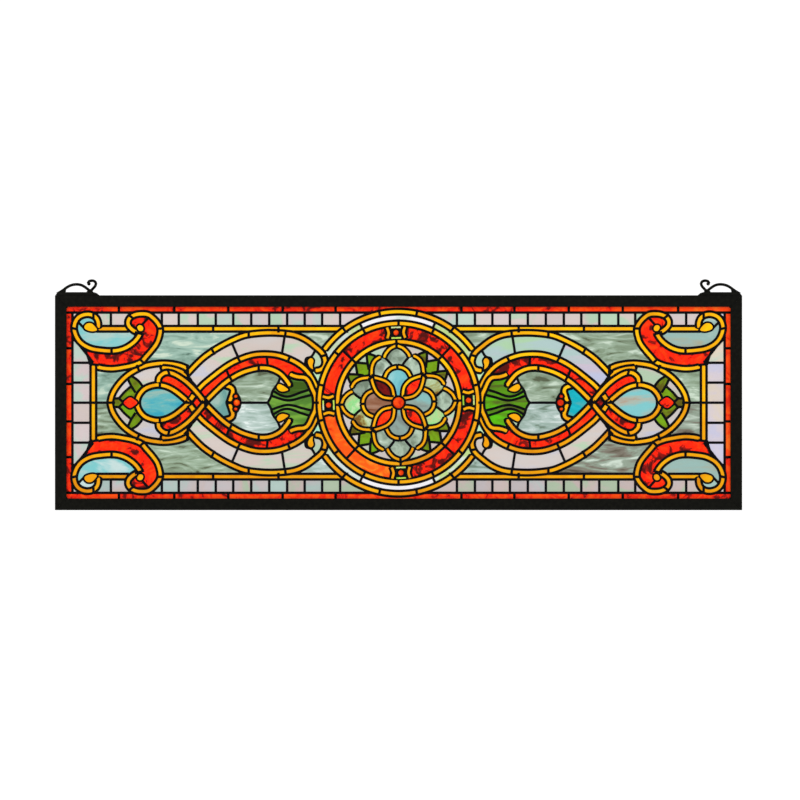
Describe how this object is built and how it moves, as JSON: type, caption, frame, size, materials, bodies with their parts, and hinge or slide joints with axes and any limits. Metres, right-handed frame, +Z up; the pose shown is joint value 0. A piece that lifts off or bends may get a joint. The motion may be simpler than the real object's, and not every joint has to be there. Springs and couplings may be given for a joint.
{
  "type": "stained glass window panel",
  "caption": "Long hanging panel of coloured glass in a lead net: round medallion, looping straps, corner scrolls and tile borders, in a dark channel frame with hooks.",
  "frame": {"origin": "midway between the places where the two hooks bear on what carries them, at the top of the wire loops' inside", "axes": "+X to the viewer's right along the panel, +Z up, -Y out of the front face"},
  "size_m": [0.889, 0.01, 0.2991],
  "materials": {
    "frame": "black satin",
    "lead": "blackened lead, stated as cast iron",
    "red_glass": "clear red",
    "gold_glass": "clear amber",
    "pale_glass": "iridescent opal",
    "blue_glass": "streaky blue and white",
    "ground_glass": "streaky grey green",
    "leaf_glass": "mottled green",
    "rosette_glass": "several colours of mottled glass"
  },
  "bodies": {
    "root": {"frame_bottom": "frame", "frame_left": "frame", "frame_right": "frame", "frame_top": "frame", "glass_arc_pale_lower": "pale_glass", "glass_arc_pale_upper": "pale_glass", "glass_border_red": "red_glass", "glass_eye_left": "blue_glass", "glass_eye_right": "blue_glass", "glass_fan_left": "leaf_glass", "glass_fan_right": "leaf_glass", "glass_ground_inner_left": "ground_glass", "glass_ground_inner_right": "ground_glass", "glass_ground_lower_left": "ground_glass", "glass_ground_lower_right": "ground_glass", "glass_ground_side_left": "ground_glass", "glass_ground_side_right": "ground_glass", "glass_ground_tip_lower_left": "ground_glass", "glass_ground_tip_lower_right": "ground_glass", "glass_ground_tip_upper_left": "ground_glass", "glass_ground_tip_upper_right": "ground_glass", "glass_ground_upper_left": "ground_glass", "glass_ground_upper_right": "ground_glass", "glass_heart_left": "blue_glass", "glass_heart_right": "blue_glass", "glass_leaves_left": "leaf_glass", "glass_leaves_right": "leaf_glass", "glass_ribbon_red_lower_left": "red_glass", "glass_ribbon_red_lower_right": "red_glass", "glass_ribbon_red_upper_left": "red_glass", "glass_ribbon_red_upper_right": "red_glass", "glass_ribbon_white_lower_left": "pale_glass", "glass_ribbon_white_lower_right": "pale_glass", "glass_ribbon_white_upper_left": "pale_glass", "glass_ribbon_white_upper_right": "pale_glass", "glass_ring_inner": "gold_glass", "glass_ring_red": "red_glass", "glass_ring_second": "gold_glass", "glass_rosette": "rosette_glass", "glass_scroll_blue_lower_left": "blue_glass", "glass_scroll_blue_lower_right": "blue_glass", "glass_scroll_blue_upper_left": "blue_glass", "glass_scroll_blue_upper_right": "blue_glass", "glass_scroll_red_lower_left": "red_glass", "glass_scroll_red_lower_right": "red_glass", "glass_scroll_red_upper_left": "red_glass", "glass_scroll_red_upper_right": "red_glass", "glass_tile_column_left": "pale_glass", "glass_tile_column_right": "pale_glass", "glass_tile_corner_lower_left": "pale_glass", "glass_tile_corner_lower_right": "pale_glass", "glass_tile_corner_upper_left": "pale_glass", "glass_tile_corner_upper_right": "pale_glass", "glass_tile_row_lower_left": "pale_glass", "glass_tile_row_lower_right": "pale_glass", "glass_tile_row_upper_left": "pale_glass", "glass_tile_row_upper_right": "pale_glass", "hanger_left": "frame", "hanger_right": "frame", "lead_net": "lead"}
  },
  "joints": []
}
